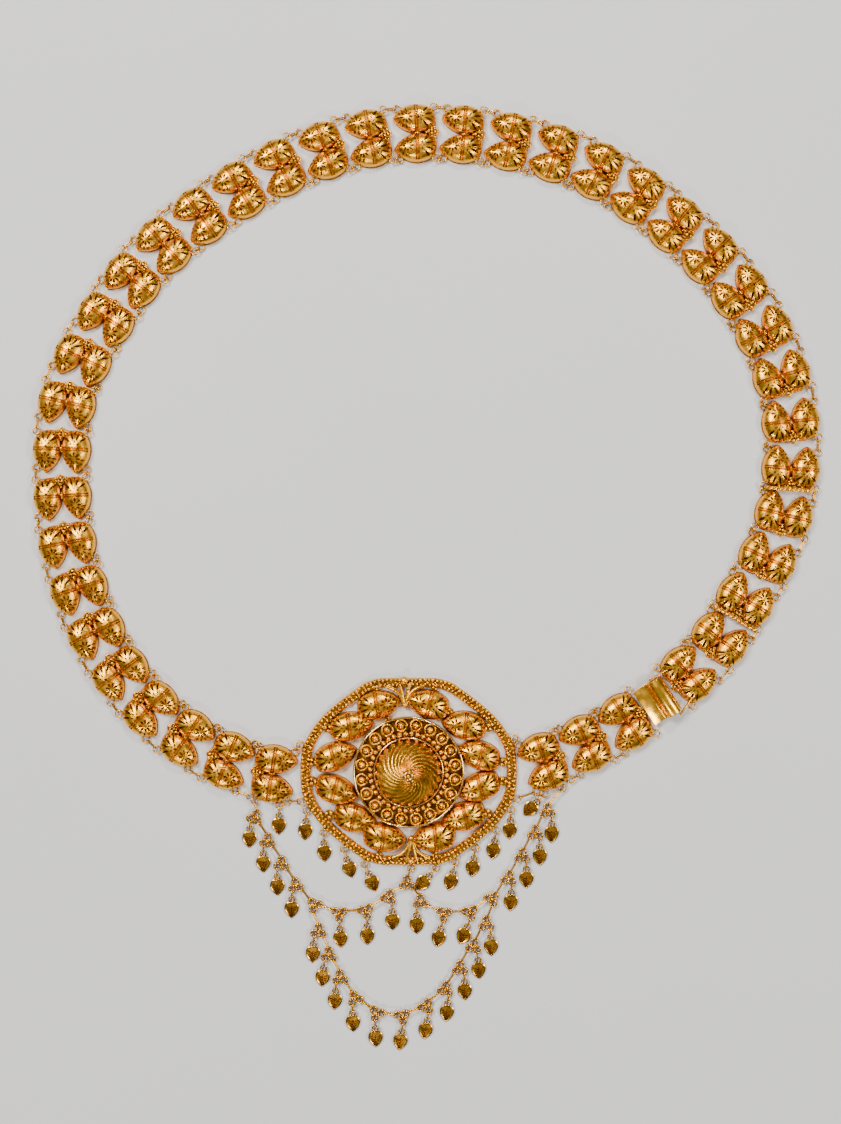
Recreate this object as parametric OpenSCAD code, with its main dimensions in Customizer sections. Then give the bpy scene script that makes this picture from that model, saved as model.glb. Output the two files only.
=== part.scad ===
// Gold link belt of hollow leaf boxes, with an oval medallion, three swags of
// trefoil chain, leaf drops, two shortening bars and a sheet hook on a strip bail.
// It lies flat with its back plates on the surface. Millimetres, +Z up, +Y is the
// side away from the medallion.

/* [Strap] */
// Sideways shift of the whole belt, so that its box is centred on the origin
shift_x = 1.13; // [-10:0.5:10]
// Lengthways shift of the whole belt, so that its box is centred on the origin
shift_y = 0.26; // [-10:0.5:10]
// Spacing of the links on the short strand between medallion and hook
short_pitch = 16.4; // [16:0.1:17]

/* [Leaf box] */
// Thickness of the sheet gold
sheet = 0.45; // [0.3:0.05:0.6]
// Thickness of the flat back plate
plate_t = 0.5; // [0.4:0.05:0.8]
// How far the back plate stands out round the wall
flange = 0.25; // [0.1:0.05:0.4]
// Rise of the dome above the wall
dome_h = 3.2; // [2.5:0.1:4]
// Diameter of the vent hole in one leaf of each link
vent_d = 0.8; // [0.5:0.1:1.2]

/* [Wire rings] */
// Radius of an eyelet, to the middle of its wire
eye_r = 1.25; // [1.1:0.05:1.5]
// Radius of the eyelet wire
eye_w = 0.25; // [0.2:0.05:0.3]
// Radius of the round ends of a joining ring, to the middle of its wire
join_r = 0.95; // [0.9:0.05:1.1]
// Radius of the joining wire
join_w = 0.2; // [0.15:0.05:0.25]

/* [Medallion] */
// Middle of the medallion, sideways
med_x = -7.7; // [-12:0.1:-4]
// Middle of the medallion, lengthways
med_y = -70.4; // [-74:0.1:-66]
// Height of the granulated rim
rim_h = 2.4; // [1.8:0.1:3]
// Inner edge of the rim, as a share of its outer edge
rim_inner = 0.905; // [0.88:0.005:0.93]
// Outer radius of the upright strip round the boss
strip_r = 19.8; // [19:0.1:20.5]
// Outer radius of the boss
boss_r = 12.4; // [12:0.1:13]
// Height of the boss at its apex
boss_h = 14.6; // [12:0.1:17]
// Number of cup and bead pairs between boss and strip
cup_n = 20; // [18:1:22]

/* [Swags and drops] */
// Outer radius of a coil ring of a trefoil
coil_r = 1.5; // [1.3:0.05:1.6]
// Inner radius of a coil ring
coil_in = 0.95; // [0.9:0.05:1.0]
// Distance of the coil rings from the middle of the trefoil
coil_at = 1.68; // [1.6:0.02:1.7]
// Height of a coil ring
coil_h = 1.0; // [0.8:0.1:1.1]
// Thickness of a leaf drop
drop_t = 0.6; // [0.4:0.1:0.7]
// Distance from the ring that carries a drop to the hole of the drop
drop_reach = 3.8; // [3.6:0.1:5]

/* [Clasp] */
// Width of the sheet hook across the belt
hook_w = 14.2; // [12:0.1:15]
// Thickness of the hook sheet
hook_t = 0.5; // [0.4:0.05:0.7]
// Radius of the curl, to the middle of the sheet
curl_r = 2.75; // [2.5:0.05:3]
// Distance of the bail's cross piece from the middle of its link
bail_end = 12.3; // [11:0.1:13]
// Height of the strip that the bail is bent from
bail_h = 1.8; // [1.5:0.1:2.2]

/* [Hidden] */
$fn = 40;
small_fn = 24;
gold = [0.85, 0.6, 0.2];

// Height of every joining ring and coil ring, and the two heights of the eyelets
join_z = 1.2;
eye_point_z = join_z - 0.4;
eye_wide_z = join_z + 0.4;

// Middle line of the strap, medallion left round to medallion right: [x, y]
route_knots = [
    [-46.5, -72.0], [-56.2, -71.3], [-72.0, -66.8], [-86.5, -59.0], [-99.3, -48.9],
    [-110.5, -36.0], [-119.0, -22.5], [-125.6, -6.5], [-130.2, 10.5], [-132.1, 28.0],
    [-132.3, 45.5], [-130.6, 61.5], [-125.4, 76.8], [-117.0, 91.6], [-107.2, 106.0],
    [-95.8, 118.4], [-82.6, 129.0], [-68.0, 138.6], [-52.4, 147.0], [-36.2, 153.2],
    [-19.9, 157.3], [-3.0, 158.9], [14.4, 158.2], [31.3, 155.3], [48.1, 150.6],
    [63.2, 143.9], [77.0, 135.0], [89.9, 124.6], [102.0, 113.2], [112.2, 100.4],
    [120.6, 86.2], [126.7, 70.6], [129.7, 54.2], [129.6, 38.0], [126.9, 21.0],
    [121.0, 5.4], [112.9, -9.4], [103.9, -23.4], [93.0, -35.2], [80.6, -45.0],
    [69.6, -53.2], [55.4, -60.8], [40.8, -67.0], [31.3, -70.2]];
strand_first = 1;
strand_last = 38;
short_first = 42;
short_n = 3;
long_n = strand_last - strand_first + 1;
link_n = long_n + short_n;
bar_links = [33, 36];

// Catmull-Rom curve through the knots, and its length so far at each sample
steps = 8;
function knot(i) = route_knots[min(max(i, 0), len(route_knots) - 1)];
function curve(i, t) =
    let (a = knot(i - 1), b = knot(i), c = knot(i + 1), d = knot(i + 2))
    0.5 * (2 * b + (c - a) * t + (2 * a - 5 * b + 4 * c - d) * t * t
        + (3 * b - a - 3 * c + d) * t * t * t);
route = [for (i = [0 : len(route_knots) - 2]) for (k = [0 : steps - 1]) curve(i, k / steps),
    route_knots[len(route_knots) - 1]];
route_s = [for (i = 0, s = 0; i < len(route);
    s = s + (i + 1 < len(route) ? norm(route[i + 1] - route[i]) : 0), i = i + 1) s];
x_table = [for (i = [0 : len(route) - 1]) [route_s[i], route[i][0]]];
y_table = [for (i = [0 : len(route) - 1]) [route_s[i], route[i][1]]];
function at(s) = [lookup(s, x_table), lookup(s, y_table)];

// Place of each link: how far along the route it is, where, and which way it heads
long_start = route_s[strand_first * steps];
long_pitch = (route_s[strand_last * steps] - long_start) / (long_n - 1);
short_start = route_s[short_first * steps];
function is_long(i) = i <= long_n;
function link_s(i) = is_long(i) ? long_start + (i - 1) * long_pitch
    : short_start - (i - long_n - 1) * short_pitch;
function heading(s) = let (d = at(s + long_pitch / 2) - at(s - long_pitch / 2)) atan2(d[1], d[0]);
function link_turn(i) = heading(link_s(i)) + (is_long(i) ? 0 : 180);
function turned(v, a) = [v[0] * cos(a) - v[1] * sin(a), v[0] * sin(a) + v[1] * cos(a)];
function on_link(i, v) = at(link_s(i)) + turned(v, link_turn(i));

// A link is named for what is soldered to it
function two(i) = i < 10 ? str("0", i) : str(i);
function link_name(i) = i == bar_links[0] ? "bar_link_1"
    : i == bar_links[1] ? "bar_link_2"
    : i == long_n ? "bail_link"
    : i == link_n ? "hook_link"
    : str("link_", two(i));

// Leaf outline in the link's own frame, as three discs that cross, each with the
// height at which its share of the dome springs: [x, y, radius, height]
leaf_discs = [[0.4, 0.75, 9.8, 1.9], [-3, 4, 10.5, 2.0], [1.2, 10.4, 10.55, 2.12]];
leaf_mid = [0.4, 5.3];

// Depth of a ball's middle below the wall's top, for a dome that rises over leaf_mid
function ball_depth(disc) =
    let (r = disc[2] - flange, d = norm([disc[0], disc[1]] - leaf_mid))
    (r * r - d * d - dome_h * dome_h) / (2 * dome_h);

module leaf_outline(inset) {
    intersection_for (disc = leaf_discs)
        translate([disc[0], disc[1]]) circle(r = disc[2] - inset, $fn = 96);
}

module leaf_form(inset) {
    intersection() {
        translate([0, 0, inset]) linear_extrude(2 * dome_h) leaf_outline(flange + inset);
        for_ball(leaf_discs[0], inset);
        for_ball(leaf_discs[1], inset);
        for_ball(leaf_discs[2], inset);
    }
}

module for_ball(disc, inset) {
    depth = ball_depth(disc);
    translate([disc[0], disc[1], disc[3] - depth])
        sphere(r = norm([disc[2] - flange, depth]) - inset, $fn = 96);
}

module leaf_solid() {
    linear_extrude(plate_t) leaf_outline(0);
    leaf_form(0);
}

vent_at = [1.3, 4.9];
module vent() {
    translate([vent_at[0], vent_at[1], dome_h]) cylinder(d = vent_d, h = dome_h, $fn = small_fn);
}

// Eyelets at the corners of a link: middle of each ring, on the side with +Y
eye_wide = [7.0, 9.2];
eye_point = [-6.3, 9.1];

module eyelet(p, z) {
    translate([p[0], p[1], z]) rotate_extrude($fn = small_fn * 2) translate([eye_r, 0])
        circle(r = eye_w, $fn = small_fn);
}

module ball(x, y, z, r) {
    translate([x, y, z]) sphere(r = r, $fn = small_fn);
}

// Granules between the wide ends of the two leaves: [x, y, radius]
granules = [[4.0, 0, 0.6], [5.2, 0.5, 0.62], [5.2, -0.5, 0.62], [6.9, 1.75, 0.6], [6.9, -1.75, 0.6]];
granule_z = 1.7;
crown = [7.1, 0, 2.0];
crown_r = 1.05;
crown_w = 0.35;
solder = [0.9, 0, 1.3];
solder_r = 1.0;

module link() {
    difference() {
        union() {
            leaf_solid();
            mirror([0, 1, 0]) leaf_solid();
            ball(solder[0], solder[1], solder[2], solder_r);
            for (g = granules) ball(g[0], g[1], granule_z, g[2]);
            translate(crown) rotate_extrude($fn = small_fn * 2) translate([crown_r, 0])
                circle(r = crown_w, $fn = small_fn);
            ball(crown[0], crown[1], crown[2], crown_r - crown_w + 0.1);
            for (side = [1, -1]) {
                eyelet([eye_wide[0], side * eye_wide[1]], eye_wide_z);
                eyelet([eye_point[0], side * eye_point[1]], eye_point_z);
            }
        }
        leaf_form(sheet);
        mirror([0, 1, 0]) leaf_form(sheet);
        vent();
    }
}

// Rings soldered to the first link of each strand, for a drop and for a swag
drop_eye = [-3.8, 10.7];
swag_eye_long = [5.2, 10.6];
swag_eye_short = [3.2, 11.2];

module first_eyelets(swag_eye, side) {
    eyelet([drop_eye[0], side * drop_eye[1]], join_z);
    eyelet([swag_eye[0], side * swag_eye[1]], join_z);
}

// Shortening bar over the wide end of a link
bar_at = 8.05;
bar_z = 3.0;
bar_r = 0.8;
bar_l = 16.8;
bar_solder_y = 4.2;

module bar() {
    translate([bar_at, -bar_l / 2, bar_z]) rotate([-90, 0, 0]) cylinder(r = bar_r, h = bar_l, $fn = small_fn);
    for (side = [1, -1]) {
        ball(bar_at, side * bar_l / 2, bar_z, bar_r - 0.1);
        ball(bar_at - 0.8, side * bar_solder_y, bar_z - 0.5, 0.7);
    }
}

// Section of the hook, along the belt and up, from the wall of its link
hook_from = 7.9;
hook_z = 1.9;
dip_r = 1.5;
dip_x = 12.15;
curl_x = dip_x + dip_r + curl_r;
curl_z = hook_z + dip_r;
return_x = 9.4;

module band(r, from, to) {
    rotate([0, 0, from]) rotate_extrude(angle = to - from, $fn = 96)
        translate([r - hook_t / 2, 0]) square([hook_t, hook_w]);
}

hook_shift = 0.5;

module hook() {
    translate([0, hook_w / 2 + hook_shift, 0]) rotate([90, 0, 0]) {
        translate([hook_from, hook_z - hook_t / 2, 0]) cube([dip_x - hook_from, hook_t, hook_w]);
        translate([dip_x, curl_z, 0]) band(dip_r, -90, 0);
        translate([curl_x, curl_z, 0]) band(curl_r, -90, 180);
        translate([return_x, curl_z - curl_r - hook_t / 2, 0])
            cube([curl_x - return_x, hook_t, hook_w]);
    }
}

// The bail is one strip on edge: two legs from the domes, and a cross piece
bail_root = [5.0, 6.6];
bail_side = 8.4;
bail_t = 0.5;
bail_z = 2.2;

module bail() {
    leg = [bail_end, bail_side] - bail_root;
    for (side = [1, -1])
        translate([bail_root[0], side * bail_root[1], bail_z]) rotate([0, 0, side * atan2(leg[1], leg[0])])
            translate([0, -bail_t / 2, 0]) cube([norm(leg), bail_t, bail_h]);
    translate([bail_end - bail_t / 2, -bail_side - bail_t / 2, bail_z])
        cube([bail_t, 2 * bail_side + bail_t, bail_h]);
}

module place_link(i) {
    p = at(link_s(i));
    translate([p[0], p[1], 0]) rotate([0, 0, link_turn(i)]) children();
}

module whole_link(i) {
    color(gold) place_link(i) union() {
        link();
        if (i == 1) first_eyelets(swag_eye_long, 1);
        if (i == long_n + 1) first_eyelets(swag_eye_short, -1);
        if (i == bar_links[0] || i == bar_links[1]) bar();
        if (i == long_n) bail();
        if (i == link_n) hook();
    }
}

// A joining ring stands on edge and passes through the holes round p and q. Its
// straight sides overlap its round ends by a little, which is the solder seam.
seam = 0.03;
module stadium_ring(straight) {
    for (side = [0, 180])
        rotate([0, 0, side]) {
            translate([straight / 2, 0, 0]) rotate([0, 0, -90]) rotate_extrude(angle = 180, $fn = small_fn * 2)
                translate([join_r, 0]) circle(r = join_w, $fn = small_fn);
            if (straight > 0)
                translate([-straight / 2 - seam, join_r, 0]) rotate([0, 90, 0])
                    cylinder(r = join_w + seam, h = straight + 2 * seam, $fn = small_fn);
        }
}

module join_ring(p, q, from_p, from_q) {
    d = q - p;
    span = norm(d) - from_p - from_q;
    lapped = from_p == in_eye && from_q == in_eye ? 2 * (eye_r - lap_room) - norm(d) : 0;
    straight = max(0, lapped, span - 2 * join_r);
    middle = from_p + span / 2;
    translate([p[0], p[1], join_z]) rotate([0, 0, atan2(d[1], d[0])])
        translate([middle, 0, 0]) rotate([90, 0, 0]) stadium_ring(straight);
}

// How far inside a hole the wire of a joining ring lies, from the hole's middle,
// and how near its round end comes to the wire of an eyelet that lies over another
in_eye = 0.42;
lap_room = 0.15;
in_coil = 0.35;
in_drop = 0.15;

// Rim corners of one quarter of the medallion
rim_quarter = [[38.9, 5], [37.6, 10.5], [32, 19], [25.3, 25], [13.5, 33.5]];
rim_points = concat(rim_quarter,
    [for (i = [4 : -1 : 0]) [-rim_quarter[i][0], rim_quarter[i][1]]],
    [for (i = [0 : 4]) -rim_quarter[i]],
    [for (i = [4 : -1 : 0]) [rim_quarter[i][0], -rim_quarter[i][1]]]);

// An eyelet near the rim is moved square to the nearest rim edge, so that it laps
// the edge by the same amount everywhere
eye_off_rim = 1.15;
function rim_edge(k) = rim_points[(k + 1) % len(rim_points)] - rim_points[k];
function rim_normal(k) = let (e = rim_edge(k)) [e[1], -e[0]] / norm(e);
function off_edge(p, k) = (p - rim_points[k]) * rim_normal(k);
function at_rim(p) =
    let (off = [for (k = [0 : len(rim_points) - 1]) off_edge(p, k)],
        k = search(max(off), off)[0])
    p + (eye_off_rim - off[k]) * rim_normal(k);

// Medallion eyelets, from its middle: four for the strands, one for the centre swag
med_mid = [med_x, med_y];
med_eyes = [for (p = [[-38.8, 9.6], [-38.8, -10.6], [38.0, 12.0], [38.7, -9.6]]) at_rim(p)];
med_swag_eye = at_rim([0.9, -34.4]);
// Eyelets for drops round the lower rim: [x, y, direction of its drop]
med_drops = [
    [-36.9, -14.2, 266], [-30.7, -22.0, 272], [-23.9, -28.8, 286], [-16.5, -34.1, 292],
    [9.9, -34.7, 228], [17.0, -32.6, 256], [24.2, -27.6, 262], [31.0, -20.6, 262],
    [37.2, -14.0, 266]];
function drop_eye_at(d) = at_rim([d[0], d[1]]);

module strap_rings(side) {
    color(gold) for (i = [1 : link_n - 1])
        if (i != long_n)
            join_ring(on_link(i, [eye_wide[0], (is_long(i) ? side : -side) * eye_wide[1]]),
                on_link(i + 1, [eye_point[0], (is_long(i) ? side : -side) * eye_point[1]]), in_eye, in_eye);
    color(gold) for (k = [0 : 1]) {
        i = k == 0 ? 1 : long_n + 1;
        s = k == 0 ? side : -side;
        join_ring(on_link(i, [eye_point[0], s * eye_point[1]]),
            med_mid + med_eyes[2 * k + (side > 0 ? 1 : 0)], in_eye, in_eye);
    }
}

// Leaves of the medallion, from its middle: [x, y, way its tip points]
med_leaves = [
    [-11.3, 24.0, 10], [7.4, 24.3, 166], [20.4, 16.6, 174], [25.7, 5.9, 165],
    [25.7, -5.6, 197], [20.3, -16.2, 194], [9.6, -23.7, 186],
    [-9.2, -23.7, -6], [-19.7, -16.8, -13], [-26.4, -6.6, -15], [-26.8, 5.4, 17], [-21.2, 16.3, 8]];

// Solder bosses between the leaves, the rim and the strip: [x, y, radius]
boss_low = 1.5;
med_bosses = [
    [34.0, 3.4, 1.7], [34.0, -3.4, 1.7], [-34.4, 3.4, 1.7], [-34.4, -3.4, 1.7],
    [28.6, 15.8, 1.7], [28.4, -15.0, 1.7], [-29.0, 15.6, 1.7], [-28.6, -15.4, 1.7],
    [9.5, 30.2, 1.3], [-11.5, 30.2, 1.3], [9.5, -29.9, 1.3], [-10.5, -29.9, 1.3],
    [14.8, 21.6, 1.3], [-16.8, 20.7, 1.3], [15.6, -20.8, 1.3], [-15.4, -21.0, 1.3],
    [5.2, 19.2, 1.2], [-7.4, 18.6, 1.2], [6.6, -18.6, 1.2], [-6.6, -18.6, 1.2],
    [24.5, 11.4, 1.2], [-25.2, 11.2, 1.2], [24.3, -11.2, 1.2], [-24.2, -12.0, 1.2]];

module med_leaf_place(leaf) {
    mirrored = leaf[1] * cos(leaf[2]) > 0 ? 1 : 0;
    translate([leaf[0], leaf[1], 0]) rotate([0, 0, leaf[2] + 180])
        mirror([0, mirrored, 0]) translate([-leaf_mid[0], -leaf_mid[1], 0]) children();
}

// Section of the boss, from its wall up to its apex: [radius, share of the height]
boss_wall = 0.6;
boss_profile = [[1, 0.24], [0.92, 0.4], [0.72, 0.63], [0.44, 0.84], [0.2, 0.95], [0, 1]];
boss_outer = [for (p = boss_profile) [p[0] * boss_r, p[1] * boss_h]];
boss_inner = [for (p = boss_profile) [p[0] * (boss_r - boss_wall), p[1] * (boss_h - boss_wall * 2)]];

module boss() {
    rotate_extrude($fn = 96) difference() {
        polygon(concat([[0, 0], [boss_r, 0]], boss_outer));
        polygon(concat([[0, -1], [boss_r - boss_wall, -1]], boss_inner));
    }
}

// Cups lie round the strip and beads round the boss, in pairs
cup_at = 17.1;
cup_r = 2.45;
bead_at = 13.9;
bead_r = 1.8;
cup_z = 2.7;
strip_t = 0.6;
strip_h = 3.8;

module cups() {
    for (k = [0 : cup_n - 1]) rotate([0, 0, (k + 0.5) * 360 / cup_n]) {
        ball(cup_at, 0, cup_z, cup_r);
        ball(bead_at, 0, cup_z - 0.2, bead_r);
    }
}

module flat_ring(outer, inner, h) {
    difference() {
        cylinder(r = outer, h = h, $fn = 96);
        translate([0, 0, -1]) cylinder(r = inner, h = h + 2, $fn = 96);
    }
}

// The cups sit on a flat ring, their seat, between the strip and the boss
seat_r = 19.5;
seat_hole = 12.1;
seat_h = 1.2;

module strip() {
    flat_ring(strip_r, strip_r - strip_t, strip_h);
    flat_ring(seat_r, seat_hole, seat_h);
}

// A fan of wire with one bead closes the rim above and below
fan_beads = [[-1.6, 32.6, 1.7], [0.9, -32.4, 1.5]];

module rim() {
    linear_extrude(rim_h) difference() {
        polygon(rim_points);
        polygon(rim_points * rim_inner);
    }
    for (b = fan_beads) ball(b[0], b[1], b[2] + 0.1, b[2]);
    for (e = med_eyes) eyelet(e, eye_wide_z);
    eyelet(med_swag_eye, join_z);
    for (d = med_drops) eyelet(drop_eye_at(d), join_z);
}

module medallion() {
    color(gold) translate([med_x, med_y, 0]) difference() {
        union() {
            rim();
            for (leaf = med_leaves) med_leaf_place(leaf) leaf_solid();
            for (b = med_bosses) translate([b[0], b[1], 0]) cylinder(r = b[2], h = boss_low, $fn = small_fn);
            strip();
            cups();
            boss();
        }
        for (leaf = med_leaves) med_leaf_place(leaf) leaf_form(sheet);
        for (leaf = med_leaves) med_leaf_place(leaf) vent();
    }
}

// Trefoils of each swag: [x, y, way the ring of its drop points, way its drop hangs]
left_units = [
    [-63.0, -86.9, 190, 268], [-58.4, -95.4, 203, 270], [-53.4, -103.6, 206, 270],
    [-48.2, -111.4, 218, 268], [-41.6, -118.4, 250, 0], [-32.6, -121.4, 270, 273],
    [-23.1, -120.5, 288, 270], [-14.9, -115.5, 311, 272]];
right_units = [
    [-3.4, -117.2, 214, 270], [5.0, -121.5, 264, 256], [14.4, -121.0, 285, 247],
    [22.2, -116.2, 288, 0], [28.2, -108.9, 320, 266], [33.2, -100.8, 327, 270],
    [37.8, -92.6, 326, 272], [42.2, -84.6, 332, 270]];
lower_units = [
    [-40.1, -127.8, 205, 266], [-36.4, -136.3, 210, 264], [-32.3, -144.5, 213, 266],
    [-26.9, -152.0, 231, 272], [-19.2, -157.3, 248, 272], [-10.0, -158.4, 281, 262],
    [-1.4, -154.8, 307, 260], [5.5, -148.6, 319, 264], [10.8, -141.1, 328, 272],
    [15.6, -133.3, 320, 274], [20.2, -125.2, 330, 272]];
centre_unit = [-8.3, -110.6, 90];

function unit_ring(u, turn) = [u[0], u[1]] + coil_at * [cos(u[2] + turn), sin(u[2] + turn)];
function hangs(u) = u[3] > 0;
function hole_of(u) = unit_ring(u, 0) + drop_reach * [cos(u[3]), sin(u[3])];

module trefoil(u) {
    translate([u[0], u[1], join_z - coil_h / 2]) rotate([0, 0, u[2]]) {
        linear_extrude(coil_h) difference() {
            for (a = [0, 120, 240]) rotate([0, 0, a]) translate([coil_at, 0]) circle(r = coil_r, $fn = 32);
            for (a = [0, 120, 240]) rotate([0, 0, a]) translate([coil_at, 0]) circle(r = coil_in, $fn = 32);
        }
        ball(0, 0, coil_h * 0.9, 0.8);
    }
}

// A drop hangs from its hole, with the tip lower than the hole
loop_r = 1.5;
hole_r = 0.6;
drop_slope = 6;
drop_points = [[0, -6.6], [2.2, -4.3], [2.75, -3.1], [2.3, -1.9], [1.1, -1.2],
    [-1.1, -1.2], [-2.3, -1.9], [-2.75, -3.1], [-2.2, -4.3]];

module drop(p, way) {
    translate([p[0], p[1], join_z]) rotate([0, 0, way + 90]) rotate([drop_slope, 0, 0])
        translate([0, 0, -drop_t / 2]) linear_extrude(drop_t) difference() {
            union() {
                circle(r = loop_r, $fn = 32);
                polygon(drop_points);
            }
            circle(r = hole_r, $fn = small_fn);
        }
}

module swag(units) {
    color(gold) for (u = units) trefoil(u);
}

module swag_drops(units) {
    color(gold) for (u = units) if (hangs(u)) drop(hole_of(u), u[3]);
}

module swag_joins(units) {
    color(gold) {
        for (i = [0 : len(units) - 2])
            join_ring(unit_ring(units[i], 120), unit_ring(units[i + 1], -120), in_coil, in_coil);
        for (u = units) if (hangs(u)) join_ring(unit_ring(u, 0), hole_of(u), in_coil, in_drop);
    }
}

last_left = left_units[len(left_units) - 1];
last_right = right_units[len(right_units) - 1];
last_lower = lower_units[len(lower_units) - 1];
lower_from = left_units[4];
lower_to = right_units[3];

module joins_left() {
    swag_joins(left_units);
    color(gold) {
        join_ring(on_link(1, swag_eye_long), unit_ring(left_units[0], -120), in_eye, in_coil);
        join_ring(unit_ring(last_left, 120), unit_ring(centre_unit, 120), in_coil, in_coil);
    }
}

module joins_right() {
    swag_joins(right_units);
    color(gold) {
        join_ring(unit_ring(centre_unit, -120), unit_ring(right_units[0], -120), in_coil, in_coil);
        join_ring(unit_ring(last_right, 120),
            on_link(long_n + 1, [swag_eye_short[0], -swag_eye_short[1]]), in_coil, in_eye);
    }
}

module joins_lower() {
    swag_joins(lower_units);
    color(gold) {
        join_ring(unit_ring(lower_from, 0), unit_ring(lower_units[0], -120), in_coil, in_coil);
        join_ring(unit_ring(last_lower, 120), unit_ring(lower_to, 0), in_coil, in_coil);
    }
}

// Drops of the medallion and of the first link of each strand: [hole, way]
function eye_drop(p, way) = [p + drop_reach * [cos(way), sin(way)], way, p];
loose_drops = concat(
    [for (d = med_drops) eye_drop(med_mid + drop_eye_at(d), d[2])],
    [eye_drop(on_link(1, drop_eye), 268), eye_drop(on_link(long_n + 1, [drop_eye[0], -drop_eye[1]]), 228)]);

module drops_medallion() {
    color(gold) for (d = loose_drops) drop(d[0], d[1]);
}

module joins_medallion() {
    color(gold) {
        for (d = loose_drops) join_ring(d[2], d[0], in_eye, in_drop);
        join_ring(med_mid + med_swag_eye, unit_ring(centre_unit, 0), in_eye, in_coil);
    }
}

module placed() {
    translate([shift_x, shift_y, 0]) children();
}

for (i = [1 : link_n])
    placed() whole_link(i);
placed() medallion();
placed() strap_rings(1);  // rings_outer
placed() strap_rings(-1);  // rings_inner
placed() swag(concat(left_units, [centre_unit]));  // swag_left
placed() swag(right_units);  // swag_right
placed() swag(lower_units);  // swag_lower
placed() joins_left();
placed() joins_right();
placed() joins_lower();
placed() swag_drops(left_units);  // drops_left
placed() swag_drops(right_units);  // drops_right
placed() swag_drops(lower_units);  // drops_lower
placed() drops_medallion();
placed() joins_medallion();
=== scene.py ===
import math
import random

import bpy
from mathutils import Matrix, Vector


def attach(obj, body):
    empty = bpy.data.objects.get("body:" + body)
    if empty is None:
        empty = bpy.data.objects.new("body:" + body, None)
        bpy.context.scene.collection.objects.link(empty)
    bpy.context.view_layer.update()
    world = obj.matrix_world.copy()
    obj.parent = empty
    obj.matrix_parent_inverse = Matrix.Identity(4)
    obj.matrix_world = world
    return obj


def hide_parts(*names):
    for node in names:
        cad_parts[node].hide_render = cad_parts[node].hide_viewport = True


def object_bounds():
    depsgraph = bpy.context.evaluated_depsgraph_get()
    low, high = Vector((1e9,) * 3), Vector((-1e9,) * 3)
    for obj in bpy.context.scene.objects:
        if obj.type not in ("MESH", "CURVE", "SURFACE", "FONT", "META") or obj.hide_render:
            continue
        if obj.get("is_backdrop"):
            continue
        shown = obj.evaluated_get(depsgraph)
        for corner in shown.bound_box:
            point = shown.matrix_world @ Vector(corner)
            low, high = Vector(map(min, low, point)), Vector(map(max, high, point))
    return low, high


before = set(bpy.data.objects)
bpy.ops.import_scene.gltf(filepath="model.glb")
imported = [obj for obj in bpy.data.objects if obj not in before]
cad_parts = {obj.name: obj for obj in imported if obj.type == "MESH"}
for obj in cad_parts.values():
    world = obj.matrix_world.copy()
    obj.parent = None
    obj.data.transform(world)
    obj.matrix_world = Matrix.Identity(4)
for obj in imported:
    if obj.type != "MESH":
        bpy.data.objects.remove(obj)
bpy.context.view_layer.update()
MM = 0.001

# Camera: straight above the belt, a little over half a metre up, as the photo was taken.
# The photo is 841 by 1124 pixels at 0.36 mm a pixel; its middle lies beside the origin.
PHOTO_LONG_MM = 1124 * 0.36
CAMERA_MM = (-2.3, 5.1, 560.0)
camera_data = bpy.data.cameras.new("photo_camera")
camera_data.sensor_fit = "VERTICAL"
camera_data.sensor_height = 36
camera_data.lens = 36 * CAMERA_MM[2] / PHOTO_LONG_MM
camera_data.clip_start = 0.01
camera = bpy.data.objects.new("photo_camera", camera_data)
camera.location = Vector(CAMERA_MM) * MM
bpy.context.collection.objects.link(camera)
bpy.context.scene.camera = camera

# Floor: a plain pale studio surface that the belt lies on, matt, with a faint grain.
bpy.ops.object.select_all(action="DESELECT")
bpy.ops.mesh.primitive_plane_add(size=6, location=(0, 0, 0))
floor = bpy.context.object
floor.name = "studio_floor"
floor_paint = bpy.data.materials.new("studio_floor")
floor_paint.use_nodes = True
tree = floor_paint.node_tree
paint = tree.nodes["Principled BSDF"]
paint.inputs["Roughness"].default_value = 0.8
where = tree.nodes.new("ShaderNodeTexCoord")
cloud = tree.nodes.new("ShaderNodeTexNoise")
cloud.inputs["Scale"].default_value = 9
tone = tree.nodes.new("ShaderNodeMix")
tone.data_type = "RGBA"
tone.inputs["A"].default_value = (0.70, 0.69, 0.67, 1)
tone.inputs["B"].default_value = (0.74, 0.73, 0.71, 1)
tree.links.new(where.outputs["Object"], cloud.inputs["Vector"])
tree.links.new(cloud.outputs["Fac"], tone.inputs["Factor"])
tree.links.new(tone.outputs["Result"], paint.inputs["Base Color"])
floor.data.materials.append(floor_paint)
floor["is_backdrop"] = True

# Light: a broad soft box overhead to the left, a weaker one to the right, and two small
# ones that put glints on the cut facets. The surroundings are darker near the horizon.
# Columns: x, y, z, size in metres, then watts.
LIGHTS = (
    (-0.55, 0.45, 0.95, 0.42, 12.4),
    (0.75, -0.10, 0.80, 0.30, 5.8),
    (0.15, 0.75, 0.70, 0.10, 4.4),
    (-0.25, -0.80, 0.65, 0.10, 3.6),
)
for number, (x, y, z, size, watts) in enumerate(LIGHTS, 1):
    bpy.ops.object.light_add(type="AREA", location=(x, y, z))
    lamp = bpy.context.object
    lamp.name = "soft_box_" + str(number)
    lamp.data.shape = "DISK"
    lamp.data.size = size
    lamp.data.energy = watts
    lamp.rotation_euler = (-Vector((x, y, z))).to_track_quat("-Z", "Y").to_euler()
world = bpy.data.worlds.new("studio")
bpy.context.scene.world = world
world.use_nodes = True
tree = world.node_tree
sky = tree.nodes["Background"]
where = tree.nodes.new("ShaderNodeTexCoord")
split = tree.nodes.new("ShaderNodeSeparateXYZ")
fade = tree.nodes.new("ShaderNodeValToRGB")
fade.color_ramp.elements[0].position = 0.15
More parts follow.
